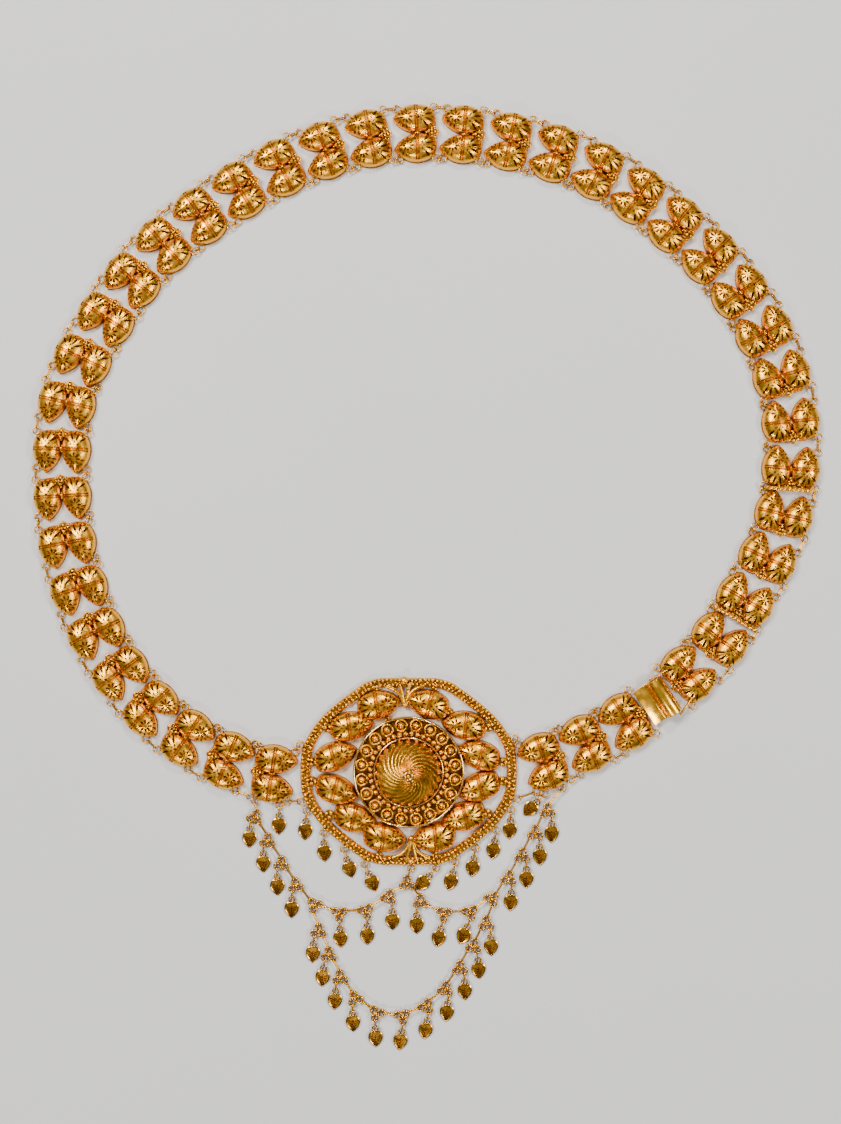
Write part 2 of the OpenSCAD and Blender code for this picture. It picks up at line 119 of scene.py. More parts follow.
fade.color_ramp.elements[0].color = (0.14, 0.14, 0.145, 1)
fade.color_ramp.elements[1].position = 0.95
fade.color_ramp.elements[1].color = (0.75, 0.75, 0.74, 1)
tree.links.new(where.outputs["Generated"], split.inputs["Vector"])
tree.links.new(split.outputs["Z"], fade.inputs["Fac"])
tree.links.new(fade.outputs["Color"], sky.inputs["Color"])
sky.inputs["Strength"].default_value = 0.44


# Links of the strap: two hollow leaf boxes stamped from gold sheet, side by side, soldered
# at the waist of the link, with a knot of granules between their wide ends and a wire
# eyelet at each corner. Diamond cuts are turned into the domes: a double line across, a
# rosette in the pointed half, and a fan of leaf cuts in the wide half. One leaf has a vent.
def start():
    bpy.ops.object.select_all(action="DESELECT")


def pick(piece):
    """Only this piece is selected, and it is the active one."""
    start()
    piece.select_set(True)
    bpy.context.view_layer.objects.active = piece


def placed(mesh, name):
    """An object of the mesh, put in the scene."""
    made = bpy.data.objects.new(name, mesh)
    bpy.context.collection.objects.link(made)
    return made


def edit_all():
    bpy.ops.object.mode_set(mode="EDIT")
    bpy.ops.mesh.select_all(action="SELECT")


def face_out():
    """Ends the editing of a closed shape, with its faces turned outwards."""
    bpy.ops.mesh.select_all(action="SELECT")
    bpy.ops.mesh.normals_make_consistent(inside=False)
    bpy.ops.object.mode_set(mode="OBJECT")


def push(x, y, z):
    """Extrudes what is selected by millimetres."""
    bpy.ops.mesh.extrude_region_move(TRANSFORM_OT_translate={"value": (x * MM, y * MM, z * MM)})


def smooth(piece, degrees):
    pick(piece)
    bpy.ops.object.shade_smooth_by_angle(angle=math.radians(degrees))


def gold(name, bright, deep, rough, dent):
    """Gold whose colour is mixed towards deep, a painted shade, in its crevices and between parts, with a
    fine worn grain. Dent is the grain's depth.
    """
    made = bpy.data.materials.new(name)
    made.use_nodes = True
    tree = made.node_tree
    metal = tree.nodes["Principled BSDF"]
    metal.inputs["Metallic"].default_value = 1
    where = tree.nodes.new("ShaderNodeTexCoord")
    wear = tree.nodes.new("ShaderNodeTexNoise")
    wear.inputs["Scale"].default_value = 420
    wear.inputs["Detail"].default_value = 4
    gloss = tree.nodes.new("ShaderNodeMapRange")
    gloss.inputs["From Min"].default_value = 0.3
    gloss.inputs["From Max"].default_value = 0.7
    gloss.inputs["To Min"].default_value = rough * 0.6
    gloss.inputs["To Max"].default_value = rough * 1.5
    # Painted shade: an occlusion mask darkens the base colour towards deep in crevices, hollows and between
    # parts.
    painted_shade_ao = tree.nodes.new("ShaderNodeAmbientOcclusion")
    painted_shade_ao.samples = 6
    painted_shade_ao.inputs["Distance"].default_value = 1.4 * MM
    reach = tree.nodes.new("ShaderNodeMapRange")
    reach.inputs["From Min"].default_value = 0.35
    reach.inputs["From Max"].default_value = 0.95
    painted_shade_mix = tree.nodes.new("ShaderNodeMix")
    painted_shade_mix.data_type = "RGBA"
    painted_shade_mix.inputs["A"].default_value = (*deep, 1)
    painted_shade_mix.inputs["B"].default_value = (*bright, 1)
    hammer = tree.nodes.new("ShaderNodeTexNoise")
    hammer.inputs["Scale"].default_value = 2600
    hammer.inputs["Detail"].default_value = 3
    relief = tree.nodes.new("ShaderNodeBump")
    relief.inputs["Strength"].default_value = 0.7
    relief.inputs["Distance"].default_value = dent * MM
    link = tree.links.new
    link(where.outputs["Object"], wear.inputs["Vector"])
    link(where.outputs["Object"], hammer.inputs["Vector"])
    link(wear.outputs["Fac"], gloss.inputs["Value"])
    link(gloss.outputs["Result"], metal.inputs["Roughness"])
    link(painted_shade_ao.outputs["AO"], reach.inputs["Value"])
    link(reach.outputs["Result"], painted_shade_mix.inputs["Factor"])
    link(painted_shade_mix.outputs["Result"], metal.inputs["Base Color"])
    link(hammer.outputs["Fac"], relief.inputs["Height"])
    link(relief.outputs["Normal"], metal.inputs["Normal"])
    return made


# The second colour of each gold is the painted shade in its crevices.
link_gold = gold("link_gold", (0.97, 0.45, 0.03), (0.30, 0.125, 0.008), 0.26, 0.11)

LEAF_DISCS = ((0.4, 0.75, 9.8), (-3.0, 4.0, 10.5), (1.2, 10.4, 10.55))
LEAF_MID = (0.4, 5.3)
LEAF_PLATE = 0.45
LEAF_FLANGE = 0.25
LEAF_WALL = 1.9
LEAF_RISE = 3.2
LEAF_STRETCH = 1.01
DOME_RINGS = (0.985, 0.95, 0.89, 0.81, 0.71, 0.59, 0.46, 0.32, 0.17, 0.05)


def leaf_reach(angle):
    """Distance from the middle of a leaf to its outline, where three discs cross."""
    total = 0
    for x, y, r in LEAF_DISCS:
        dx = x - LEAF_MID[0]
        dy = y - LEAF_MID[1]
        along = dx * math.cos(angle) + dy * math.sin(angle)
        total += (along + math.sqrt(along * along - dx * dx - dy * dy + r * r)) ** -44
    return total ** (-1 / 44)


def dome_height(share):
    return LEAF_WALL + LEAF_RISE * (1 - min(share, 1) ** 2.2) ** 0.62


def on_dome(x, y):
    dx = x - LEAF_MID[0]
    dy = y - LEAF_MID[1]
    edge = leaf_reach(math.atan2(dy, dx)) - LEAF_FLANGE
    return Vector((x, y, dome_height(math.hypot(dx, dy) / edge)))


def move(piece_matrix, x, y, z=0.0):
    return Matrix.Translation(Vector((x, y, z)) * MM) @ piece_matrix


def copy_of(master, matrix, name):
    """A copy of a shape with its own mesh, moved in the mesh itself."""
    mesh = master.data.copy()
    mesh.transform(matrix)
    if matrix.determinant() < 0:
        mesh.flip_normals()
    return placed(mesh, name)


def joined(parts, name):
    start()
    for part in parts:
        part.select_set(True)
    bpy.context.view_layer.objects.active = parts[0]
    bpy.ops.object.join()
    made = bpy.context.object
    made.name = name
    made.data.name = name
    return made


def settle():
    """What was just added keeps its place in its mesh, and its object goes to the origin."""
    bpy.ops.object.transform_apply(location=True, rotation=True, scale=True)
    return bpy.context.object


def wire(points, r, sides, name):
    """Round wire through points in millimetres, closed at both ends."""
    count = len(points)
    verts = []
    for k, p in enumerate(points):
        after = Vector(points[min(k + 1, count - 1)])
        before = Vector(points[max(k - 1, 0)])
        ahead = (after - before).normalized()
        side = ahead.cross(Vector((0, 0, 1)))
        side = side.normalized() if side.length > 0.01 else Vector((1, 0, 0))
        up = side.cross(ahead)
        for s in range(sides):
            a = 2 * math.pi * s / sides
            verts.append((Vector(p) + (side * math.cos(a) + up * math.sin(a)) * r) * MM)
    faces = [tuple(range(sides))[::-1], tuple(range((count - 1) * sides, count * sides))]
    for k in range(count - 1):
        for s in range(sides):
            t = (s + 1) % sides
            faces.append((k * sides + s, k * sides + t, (k + 1) * sides + t, (k + 1) * sides + s))
    mesh = bpy.data.meshes.new(name)
    mesh.from_pydata(verts, [], faces)
    made = placed(mesh, name)
    pick(made)
    edit_all()
    face_out()
    return made


start()
bpy.ops.mesh.primitive_circle_add(vertices=72, radius=1, fill_type="NGON")
leaf = bpy.context.object
leaf.name = "leaf_master"
for v in leaf.data.vertices:
    way = math.atan2(v.co.y, v.co.x)
    reach = leaf_reach(way)
    v.co = Vector((LEAF_MID[0] + reach * math.cos(way), LEAF_MID[1] + reach * math.sin(way), 0)) * MM
edit_all()
push(0, 0, LEAF_PLATE)
bpy.ops.mesh.inset(thickness=LEAF_FLANGE * MM)
push(0, 0, LEAF_WALL - LEAF_PLATE)
mid = (LEAF_MID[0] * MM, LEAF_MID[1] * MM, 0)
share_now = 1
height_now = LEAF_WALL
for share in DOME_RINGS:
    height = dome_height(share)
    push(0, 0, height - height_now)
    grow = share / share_now
    bpy.ops.transform.resize(value=(grow, grow, 1), center_override=mid)
    share_now = share
    height_now = height
face_out()

# Diamond cuts come in fans, each a row of spindles turned round one point of the dome.
# Columns: x, y of the point, distance of the cuts from it, first way and last way in
# degrees, number of cuts, half length, half width, depth below the dome.
CUT_FANS = (
    (-3.0, 5.15, 1.6, 0, 315, 8, 0.85, 0.42, 0.7),
    (-3.0, 5.15, 3.1, 96, 268, 7, 0.95, 0.34, 0.55),
    (-3.0, 5.15, 4.45, 150, 212, 3, 0.6, 0.24, 0.4),
    (1.6, 5.2, 3.6, -51, 51, 4, 1.95, 0.42, 0.9),
    (1.6, 5.2, 4.9, -34, 34, 3, 0.8, 0.28, 0.5),
    (1.6, 5.2, 1.4, -62, 62, 3, 0.55, 0.26, 0.5),
    (-0.5, 5.2, 7.55, -38, 36, 7, 0.4, 0.26, 0.36),
)
start()
bpy.ops.mesh.primitive_uv_sphere_add(segments=4, ring_count=8, radius=1, rotation=(0, math.pi / 2, 0))
seed_cut = settle()
NEAR = 0.1
cutters = []
for fan_x, fan_y, away, first_way, last_way, count, half_long, half_wide, depth in CUT_FANS:
    for k in range(count):
        a = math.radians(first_way + (last_way - first_way) * k / max(count - 1, 1))
        x = fan_x + away * math.cos(a)
        y = fan_y + away * math.sin(a)
        here = on_dome(x, y)
        ahead = on_dome(x + NEAR * math.cos(a), y + NEAR * math.sin(a)) - here
        aside = on_dome(x - NEAR * math.sin(a), y + NEAR * math.cos(a)) - here
        normal = ahead.cross(aside).normalized()
        ahead.normalize()
        aside = normal.cross(ahead)
        turn = Matrix((ahead, aside, normal)).transposed().to_4x4()
        size = Matrix.Diagonal((half_long * MM, half_wide * MM, depth * MM, 1))
        cutters.append(copy_of(seed_cut, Matrix.Translation(here * MM) @ turn @ size, "cut"))

# The double line across the leaf: where each line runs, its first y and its length, the
# number of points along it, how far the cutter rides above the dome, and its radius.
LINES = {"at": (0.05, 0.85), "first": 0.5, "long": 9.4, "points": 15, "above": 0.06, "r": 0.4}
for x in LINES["at"]:
    line = []
    for k in range(LINES["points"]):
        y = LINES["first"] + LINES["long"] * k / (LINES["points"] - 1)
        line.append(on_dome(x, y) + Vector((0, 0, LINES["above"])))
    cutters.append(wire(line, LINES["r"], 4, "line_cut"))
bpy.data.objects.remove(seed_cut)
cutter = joined(cutters, "diamond_cuts")


def cut_out(piece, tool):
    """The tool's shape is cut from the piece, and the tool is gone."""
    pick(piece)
    cut = piece.modifiers.new("cut", "BOOLEAN")
    cut.operation = "DIFFERENCE"
    cut.solver = "EXACT"
    cut.use_self = True
    cut.object = tool
    bpy.ops.object.modifier_apply(modifier="cut")
    bpy.data.objects.remove(tool)


cut_out(leaf, cutter)
leaf.data.transform(Matrix.Scale(LEAF_STRETCH, 4, (1, 0, 0)))
smooth(leaf, 28)
VENT = {"x": 1.3, "y": 4.9, "z": 5.2, "r": 0.4, "deep": 4}
vented = copy_of(leaf, Matrix.Identity(4), "vented_leaf_master")
bpy.ops.mesh.primitive_cylinder_add(vertices=16, radius=VENT["r"] * MM, depth=VENT["deep"] * MM,
    location=Vector((VENT["x"], VENT["y"], VENT["z"])) * MM)
cut_out(vented, settle())
smooth(vented, 28)
start()
bpy.ops.mesh.primitive_uv_sphere_add(segments=8, ring_count=6, radius=MM)
granule = settle()
granule.name = "granule_master"
smooth(granule, 60)


def ring(r, w, x, y, z, around, sides):
    """Ring of wire: radius of its middle line, radius of the wire, place, facets."""
    start()
    bpy.ops.mesh.primitive_torus_add(major_segments=around, minor_segments=sides,
        major_radius=r * MM, minor_radius=w * MM, location=(x * MM, y * MM, z * MM))
    made = settle()
    smooth(made, 60)
    return made


eyelet = ring(1.25, 0.29, 0, 0, 0, 28, 8)
eyelet.name = "eyelet_master"
crown = ring(1.05, 0.35, 0, 0, 0, 20, 8)
crown.name = "crown_master"


def ball(x, y, z, r):
    return copy_of(granule, move(Matrix.Scale(r, 4), x, y, z), "ball")


def eye(x, y, z):
    return copy_of(eyelet, move(Matrix.Identity(4), x, y, z), "eye")


# Granules between the wide ends, in two layers, and three at the waist: x, y, height, radius
GRANULES = ((4.0, 0, 1.9, 0.75), (5.2, 0.6, 2.1, 0.72), (5.2, -0.6, 2.1, 0.72), (6.9, 1.75, 1.9, 0.7),
    (6.9, -1.75, 1.9, 0.7), (7.1, 0, 2.3, 0.75), (5.9, 1.5, 2.2, 0.65), (5.9, -1.5, 2.2, 0.65),
    (4.7, 0, 3.0, 0.62), (5.9, 0.55, 3.0, 0.6), (5.9, -0.55, 3.0, 0.6),
    (0.9, 0, 1.5, 1.0), (0.2, 0, 1.2, 0.9), (1.7, 0, 1.3, 0.8))
# Eyelets: x, y, height
EYELETS = ((7.0, 9.2, 1.6), (7.0, -9.2, 1.6), (-6.3, 9.1, 0.8), (-6.3, -9.1, 0.8))
parts = [copy_of(vented, Matrix.Identity(4), "leaf")]
parts.append(copy_of(leaf, Matrix.Scale(-1, 4, (0, 1, 0)), "leaf"))
parts += [ball(*g) for g in GRANULES]
parts += [eye(*e) for e in EYELETS]
parts.append(copy_of(crown, move(Matrix.Identity(4), 7.1, 0, 2.0), "crown"))
link_master = joined(parts, "link_master")

# Where the links lie: the middle line of the strap, from the medallion's left side round
# to its right side, in millimetres, before the shift that centres the belt.
SHIFT = Vector((1.13, 0.26))
ROUTE = (
    (-46.5, -72.0), (-56.2, -71.3), (-72.0, -66.8), (-86.5, -59.0), (-99.3, -48.9),
    (-110.5, -36.0), (-119.0, -22.5), (-125.6, -6.5), (-130.2, 10.5), (-132.1, 28.0),
    (-132.3, 45.5), (-130.6, 61.5), (-125.4, 76.8), (-117.0, 91.6), (-107.2, 106.0),
    (-95.8, 118.4), (-82.6, 129.0), (-68.0, 138.6), (-52.4, 147.0), (-36.2, 153.2),
    (-19.9, 157.3), (-3.0, 158.9), (14.4, 158.2), (31.3, 155.3), (48.1, 150.6),
    (63.2, 143.9), (77.0, 135.0), (89.9, 124.6), (102.0, 113.2), (112.2, 100.4),
    (120.6, 86.2), (126.7, 70.6), (129.7, 54.2), (129.6, 38.0), (126.9, 21.0),
    (121.0, 5.4), (112.9, -9.4), (103.9, -23.4), (93.0, -35.2), (80.6, -45.0),
    (69.6, -53.2), (55.4, -60.8), (40.8, -67.0), (31.3, -70.2))
# Steps of the curve between two route points, links on the long strand, links in all,
# and the route point that the short strand starts from, with its pitch.
STEPS = 8
LONG = 38
LINKS = 41
SHORT_START = 42
SHORT_PITCH = 16.4


def route_point(i, t):
    """A point of the smooth curve through the route points, a share t past point i."""
    a, b, c, d = (Vector(ROUTE[min(max(k, 0), len(ROUTE) - 1)]) for k in (i - 1, i, i + 1, i + 2))
    square = 2 * a - 5 * b + 4 * c - d
    cube = 3 * b - a - 3 * c + d
    return 0.5 * (2 * b + (c - a) * t + square * t * t + cube * t ** 3)


track = [route_point(i, k / STEPS) for i in range(len(ROUTE) - 1) for k in range(STEPS)]
track.append(Vector(ROUTE[-1]))
length_to = [0]
for before, after in zip(track, track[1:]):
    length_to.append(length_to[-1] + (after - before).length)


def at(s):
    """The point of the route at a length s along it."""
    k = 0
    while k < len(track) - 2 and length_to[k + 1] < s:
        k += 1
    return track[k].lerp(track[k + 1], (s - length_to[k]) / (length_to[k + 1] - length_to[k]))


first_s = length_to[STEPS]
long_pitch = (length_to[LONG * STEPS] - first_s) / (LONG - 1)


def link_place(i):
    """Middle of a link in millimetres and its turn in radians, its wide end ahead."""
    if i <= LONG:
        s = first_s + (i - 1) * long_pitch
    else:
        s = length_to[SHORT_START * STEPS] - (i - LONG - 1) * SHORT_PITCH
    heading = at(s + long_pitch / 2) - at(s - long_pitch / 2)
    turn = math.atan2(heading.y, heading.x) + (0 if i <= LONG else math.pi)
    return at(s) + SHIFT, turn


def link_matrix(i):
    place, turn = link_place(i)
    return Matrix.Translation((place.x * MM, place.y * MM, 0)) @ Matrix.Rotation(turn, 4, "Z")


def done(piece, paint, slot, *nodes):
    """The piece takes its gold, is put under the root, and the CAD nodes that it stands for are hidden.
    Slot is not used.
    """
    piece.data.materials.clear()
    piece.data.materials.append(paint)
    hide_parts(*nodes)
    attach(piece, "root")
    return piece


BAR_LINKS = {33: "bar_link_1", 36: "bar_link_2"}
BAIL_LINK = 38
HOOK_LINK = 41
# Rings for a drop and a swag on the first link of each strand: link, x, y
FIRST_EYES = ((1, -3.8, 10.7), (1, 5.2, 10.6), (39, -3.8, -10.7), (39, 3.2, -11.2))
for i in range(1, LINKS + 1):
    if i in BAR_LINKS or i in (BAIL_LINK, HOOK_LINK):
        continue
    made = copy_of(link_master, link_matrix(i), "strap_link_" + str(i))
    extra = [copy_of(eyelet, link_matrix(i) @ move(Matrix.Identity(4), x, y, 1.2), "eye")
        for number, x, y in FIRST_EYES if number == i]
    if extra:
        made = joined([made] + extra, "strap_link_" + str(i))
    done(made, link_gold, "link_gold", "link_%02d" % i)

# Shortening bars: a gold rod twisted after its sides were cut flat, soldered across the
# wide ends of two links of the right side, where the hook takes hold for a smaller waist.
BAR = {"at": 7.85, "z": 3.15, "r": 0.8, "groove": 0.72, "long": 16.8, "turns": 2.6, "rings": 56}
BAR_END = {"r": 0.75, "inside": 0.1}
BAR_TACK = {"r": 0.7, "y": 4.2, "back": 0.8, "under": 0.5}
start()
bpy.ops.mesh.primitive_circle_add(vertices=12, radius=BAR["r"] * MM, fill_type="NGON",
    rotation=(math.pi / 2, 0, 0))
bar = settle()
for k, v in enumerate(bar.data.vertices):
    v.co *= BAR["groove"] if k % 3 == 0 else 1.0
    v.co.y = -BAR["long"] / 2 * MM
edit_all()
for k in range(BAR["rings"]):
    push(0, BAR["long"] / BAR["rings"], 0)
    bpy.ops.transform.rotate(value=2 * math.pi * BAR["turns"] / BAR["rings"], orient_axis="Y",
        center_override=(0, 0, 0))
face_out()
smooth(bar, 35)
bar.data.transform(Matrix.Translation(Vector((BAR["at"], 0, BAR["z"])) * MM))
for i, node in BAR_LINKS.items():
    parts = [copy_of(link_master, link_matrix(i), "link"), copy_of(bar, link_matrix(i), "bar")]
    for side in (1, -1):
        end_y = side * (BAR["long"] / 2 - BAR_END["inside"])
        end = ball(BAR["at"], end_y, BAR["z"], BAR_END["r"])
        tack = ball(BAR["at"] - BAR_TACK["back"], side * BAR_TACK["y"], BAR["z"] - BAR_TACK["under"],
            BAR_TACK["r"])
        parts += [copy_of(end, link_matrix(i), "end"), copy_of(tack, link_matrix(i), "tack")]
        bpy.data.objects.remove(end)
        bpy.data.objects.remove(tack)
    done(joined(parts, "strap_link_" + str(i) + "_with_bar"), link_gold, "link_gold", node)
bpy.data.objects.remove(bar)


# Clasp: the last link of the short strand carries a hook of polished sheet, flat and then
# curled up, over and back underneath. The last link of the long strand carries its bail,
# a strip on edge bent to three sides, whose cross piece lies inside the curl.
def sheet_strip(path, spread, t, name):
    """A sheet t thick along a path of points in millimetres, as wide as the vector spread."""
    verts = []
    for p in path:
        verts.append(Vector(p) * MM)
        verts.append((Vector(p) + Vector(spread)) * MM)
    faces = [(2 * k, 2 * k + 1, 2 * k + 3, 2 * k + 2) for k in range(len(path) - 1)]
    mesh = bpy.data.meshes.new(name)
    mesh.from_pydata(verts, [], faces)
    made = placed(mesh, name)
    pick(made)
    thick = made.modifiers.new("thick", "SOLIDIFY")
    thick.thickness = t * MM
    thick.offset = 0
    thick.use_even_offset = True
    bpy.ops.object.modifier_apply(modifier="thick")
    soft = made.modifiers.new("soft", "BEVEL")
    soft.width = 0.1 * MM
    soft.segments = 2
    soft.limit_method = "ANGLE"
    soft.angle_limit = math.radians(50)
    bpy.ops.object.modifier_apply(modifier="soft")
    smooth(made, 35)
    return made


HOOK = {"from": 7.9, "z": 1.9, "sag": 0.7, "dip_x": 12.15, "dip_r": 1.5, "curl_r": 2.75,
    "return_x": 9.4, "wide": 14.2, "shift": 0.5, "t": 0.5}
FLAT_STEPS, DIP_STEPS, CURL_STEPS = 7, 8, 27
low = -HOOK["wide"] / 2 + HOOK["shift"]
dip_mid = (HOOK["dip_x"], HOOK["z"] + HOOK["dip_r"])
curl_mid = (HOOK["dip_x"] + HOOK["dip_r"] + HOOK["curl_r"], dip_mid[1])
path = []
for k in range(FLAT_STEPS):
    x = HOOK["from"] + (HOOK["dip_x"] - HOOK["from"]) * k / FLAT_STEPS
    path.append((x, low, HOOK["z"] + HOOK["sag"] * (1 - k / FLAT_STEPS) ** 2))
for k in range(DIP_STEPS + 1):
    a = math.radians(-90 + 90 * k / DIP_STEPS)
    r = HOOK["dip_r"]
    path.append((dip_mid[0] + r * math.cos(a), low, dip_mid[1] + r * math.sin(a)))
for k in range(1, CURL_STEPS + 1):
    a = math.radians(180 - 270 * k / CURL_STEPS)
    r = HOOK["curl_r"]
    path.append((curl_mid[0] + r * math.cos(a), low, curl_mid[1] + r * math.sin(a)))
path.append((HOOK["return_x"], low, curl_mid[1] - HOOK["curl_r"]))
hook = sheet_strip(path, (0, HOOK["wide"], 0), HOOK["t"], "hook_sheet")
hook_paint = gold("hook_sheet", (1.0, 0.50, 0.035), (0.36, 0.14, 0.008), 0.24, 0.02)
hook_link = copy_of(link_master, link_matrix(HOOK_LINK), "link")
hook_link.data.materials.clear()
hook_link.data.materials.append(link_gold)
hook_part = copy_of(hook, link_matrix(HOOK_LINK), "hook")
hook_part.data.materials.append(hook_paint)
hook_link = joined([hook_link, hook_part], "strap_link_41_with_hook")
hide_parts("hook_link")
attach(hook_link, "root")
bpy.data.objects.remove(hook)

BAIL = {"root_x": 5.0, "root_y": 6.6, "end_x": 12.3, "end_y": 8.4, "z": 2.2, "high": 1.8, "t": 0.5}
path = [(BAIL["root_x"], BAIL["root_y"], BAIL["z"]), (BAIL["end_x"], BAIL["end_y"], BAIL["z"]),
    (BAIL["end_x"], -BAIL["end_y"], BAIL["z"]), (BAIL["root_x"], -BAIL["root_y"], BAIL["z"])]
bail = sheet_strip(path, (0, 0, BAIL["high"]), BAIL["t"], "bail_strip")
parts = [copy_of(master, link_matrix(BAIL_LINK), "part") for master in (link_master, bail)]
done(joined(parts, "strap_link_38_with_bail"), link_gold, "link_gold", "bail_link")
bpy.data.objects.remove(bail)

# Medallion: an openwork oval in one soldered piece. A band of granules is its rim; twelve
# leaf boxes lie inside it, then an upright strip with twenty cups, each with its bead, and
# a tall boss raised in sheet, its flutes twisted, with a ring and granules at the apex.
MEDALLION = Vector((-7.7, -70.4)) + SHIFT
RIM_QUARTER = ((38.9, 5), (37.6, 10.5), (32, 19), (25.3, 25), (13.5, 33.5))
rim = [Vector(p) for p in RIM_QUARTER]
rim += [Vector((-x, y)) for x, y in RIM_QUARTER[::-1]]
rim += [Vector((-x, -y)) for x, y in RIM_QUARTER]
rim += [Vector((x, -y)) for x, y in RIM_QUARTER[::-1]]
flat_rim = rim
# The rim's corners are cut off twice, so that they look bent.
for cut in (3.0, 1.0):
    rounded = []
    for a, b in zip(rim, rim[1:] + rim[:1]):
        t = cut / max((b - a).length, 4 * cut)
        rounded += [a.lerp(b, t), a.lerp(b, 1 - t)]
    rim = rounded
med = []
rng = random.Random(7)


def along_rim(share, step, first):
    """Points spaced along the rim's outline drawn to a share of its size."""
    out = []
    loop = [p * share for p in rim] + [rim[0] * share]
    left = first
    for a, b in zip(loop, loop[1:]):
        run = (b - a).length
        while left < run:
            out.append(a.lerp(b, left / run))
            left += step
        left -= run
    return out


# Section of the rim's band: share of the outline, height
BAND = ((1.0, 0.0), (1.0, 1.1), (0.99, 1.5), (0.915, 1.5), (0.905, 1.1), (0.905, 0.0))
band = bpy.data.meshes.new("rim_band")
verts = [Vector((p.x * share, p.y * share, z)) * MM for share, z in BAND for p in rim]
faces = []
around = len(rim)
for row in range(len(BAND)):
    here = row * around
    above = (row + 1) % len(BAND) * around
    for k in range(around):
        beside = (k + 1) % around
        faces.append((here + k, here + beside, above + beside, above + k))
band.from_pydata(verts, [], faces)
med.append(placed(band, "rim_band"))
# Rows of granules on the rim: share of the outline, spacing, radius, height. Each granule
# is a little off its row, and each row starts a little later.
RIM_ROWS = (
    (0.98, 1.5, 0.76, 1.6), (0.932, 1.45, 0.74, 1.6),
    (0.956, 2.9, 0.5, 2.0), (0.912, 2.2, 0.4, 1.3))
OFF_ROW = 0.16
OFF_HEIGHT = 0.1
LATER = 0.3
for row, (share, step, r, z) in enumerate(RIM_ROWS):
    for p in along_rim(share, step, LATER * row):
        x = p.x + rng.uniform(-OFF_ROW, OFF_ROW)
        y = p.y + rng.uniform(-OFF_ROW, OFF_ROW)
        height = z + rng.uniform(-OFF_HEIGHT, OFF_HEIGHT)
        med.append(ball(x, y, height, r * rng.uniform(0.85, 1.1)))

# Leaves: x, y, way the tip points. They are a little longer than those of the links.
MED_STRETCH = Matrix.Scale(1.04, 4, (1, 0, 0))
MED_LEAVES = ((-11.3, 24.0, 10), (7.4, 24.3, 166), (20.4, 16.6, 174), (25.7, 5.9, 165),
    (25.7, -5.6, 197), (20.3, -16.2, 194), (9.6, -23.7, 186),
    (-9.2, -23.7, -6), (-19.7, -16.8, -13), (-26.4, -6.6, -15), (-26.8, 5.4, 17), (-21.2, 16.3, 8))
for x, y, way in MED_LEAVES:
    outside = 1 if y * math.cos(math.radians(way)) <= 0 else -1
    flip = Matrix.Scale(outside, 4, (0, 1, 0))
    back = Matrix.Translation(Vector((-LEAF_MID[0], -LEAF_MID[1], 0)) * MM)
    turn = Matrix.Rotation(math.radians(way + 180), 4, "Z")
    med.append(copy_of(vented, move(turn @ flip @ MED_STRETCH @ back, x, y), "leaf"))

# Solder plates between leaves, rim and strip, with granules on them: x, y, radius
PLATES = ((34.0, 3.4, 1.7), (34.0, -3.4, 1.7), (-34.4, 3.4, 1.7), (-34.4, -3.4, 1.7),
    (28.6, 15.8, 1.7), (28.4, -15.0, 1.7), (-29.0, 15.6, 1.7), (-28.6, -15.4, 1.7),
    (9.5, 30.2, 1.3), (-11.5, 30.2, 1.3), (9.5, -29.9, 1.3), (-10.5, -29.9, 1.3),
    (14.8, 21.6, 1.3), (-16.8, 20.7, 1.3), (15.6, -20.8, 1.3), (-15.4, -21.0, 1.3),
    (5.2, 19.2, 1.2), (-7.4, 18.6, 1.2), (6.6, -18.6, 1.2), (-6.6, -18.6, 1.2),
    (24.5, 11.4, 1.2), (-25.2, 11.2, 1.2), (24.3, -11.2, 1.2), (-24.2, -12.0, 1.2))
PLATE_HIGH = 1.5
for x, y, r in PLATES:
    start()
    bpy.ops.mesh.primitive_cylinder_add(vertices=12, radius=r * MM, depth=PLATE_HIGH * MM,
        location=Vector((x, y, PLATE_HIGH / 2)) * MM)
    med.append(settle())
    for k in range(3):
        a = math.radians(120 * k + 7 * x)
        med.append(ball(x + 0.55 * r * math.cos(a), y + 0.55 * r * math.sin(a), 1.7, 0.48 * r))

# Strip on edge round the cups, its upper edge a burnished wire, painted a paler gold as a painted highlight
STRIP = {"r": 19.8, "t": 0.5, "high": 3.6}
start()
bpy.ops.mesh.primitive_circle_add(vertices=96, radius=STRIP["r"] * MM)
bpy.ops.object.mode_set(mode="EDIT")
bpy.ops.mesh.extrude_edges_move(TRANSFORM_OT_translate={"value": (0, 0, STRIP["high"] * MM)})
bpy.ops.object.mode_set(mode="OBJECT")
strip = bpy.context.object
thick = strip.modifiers.new("thick", "SOLIDIFY")
thick.thickness = STRIP["t"] * MM
thick.offset = -1
bpy.ops.object.modifier_apply(modifier="thick")
edit_all()
face_out()
smooth(strip, 35)
med.append(strip)
strip_wire = ring(STRIP["r"] - STRIP["t"] / 2, 0.36, 0, 0, STRIP["high"], 96, 8)
med.append(strip_wire)

# Seat: a low ring of sheet that the cups and granules stand on; its near black-brown colour is painted
# shade, filling the gaps between them with darkness
SEAT = {"r": 15.2, "half": 4.2, "high": 1.15}
start()
bpy.ops.mesh.primitive_torus_add(major_segments=72, minor_segments=4,
    major_radius=SEAT["r"] * MM, minor_radius=MM)
seat = settle()
for v in seat.data.vertices:
    off = math.hypot(v.co.x, v.co.y) / MM - SEAT["r"]
    grow = (SEAT["r"] + SEAT["half"] * off) / (SEAT["r"] + off)
    v.co = Vector((v.co.x * grow, v.co.y * grow, SEAT["high"] * (0.52 * MM + 0.48 * v.co.z)))
med.append(seat)

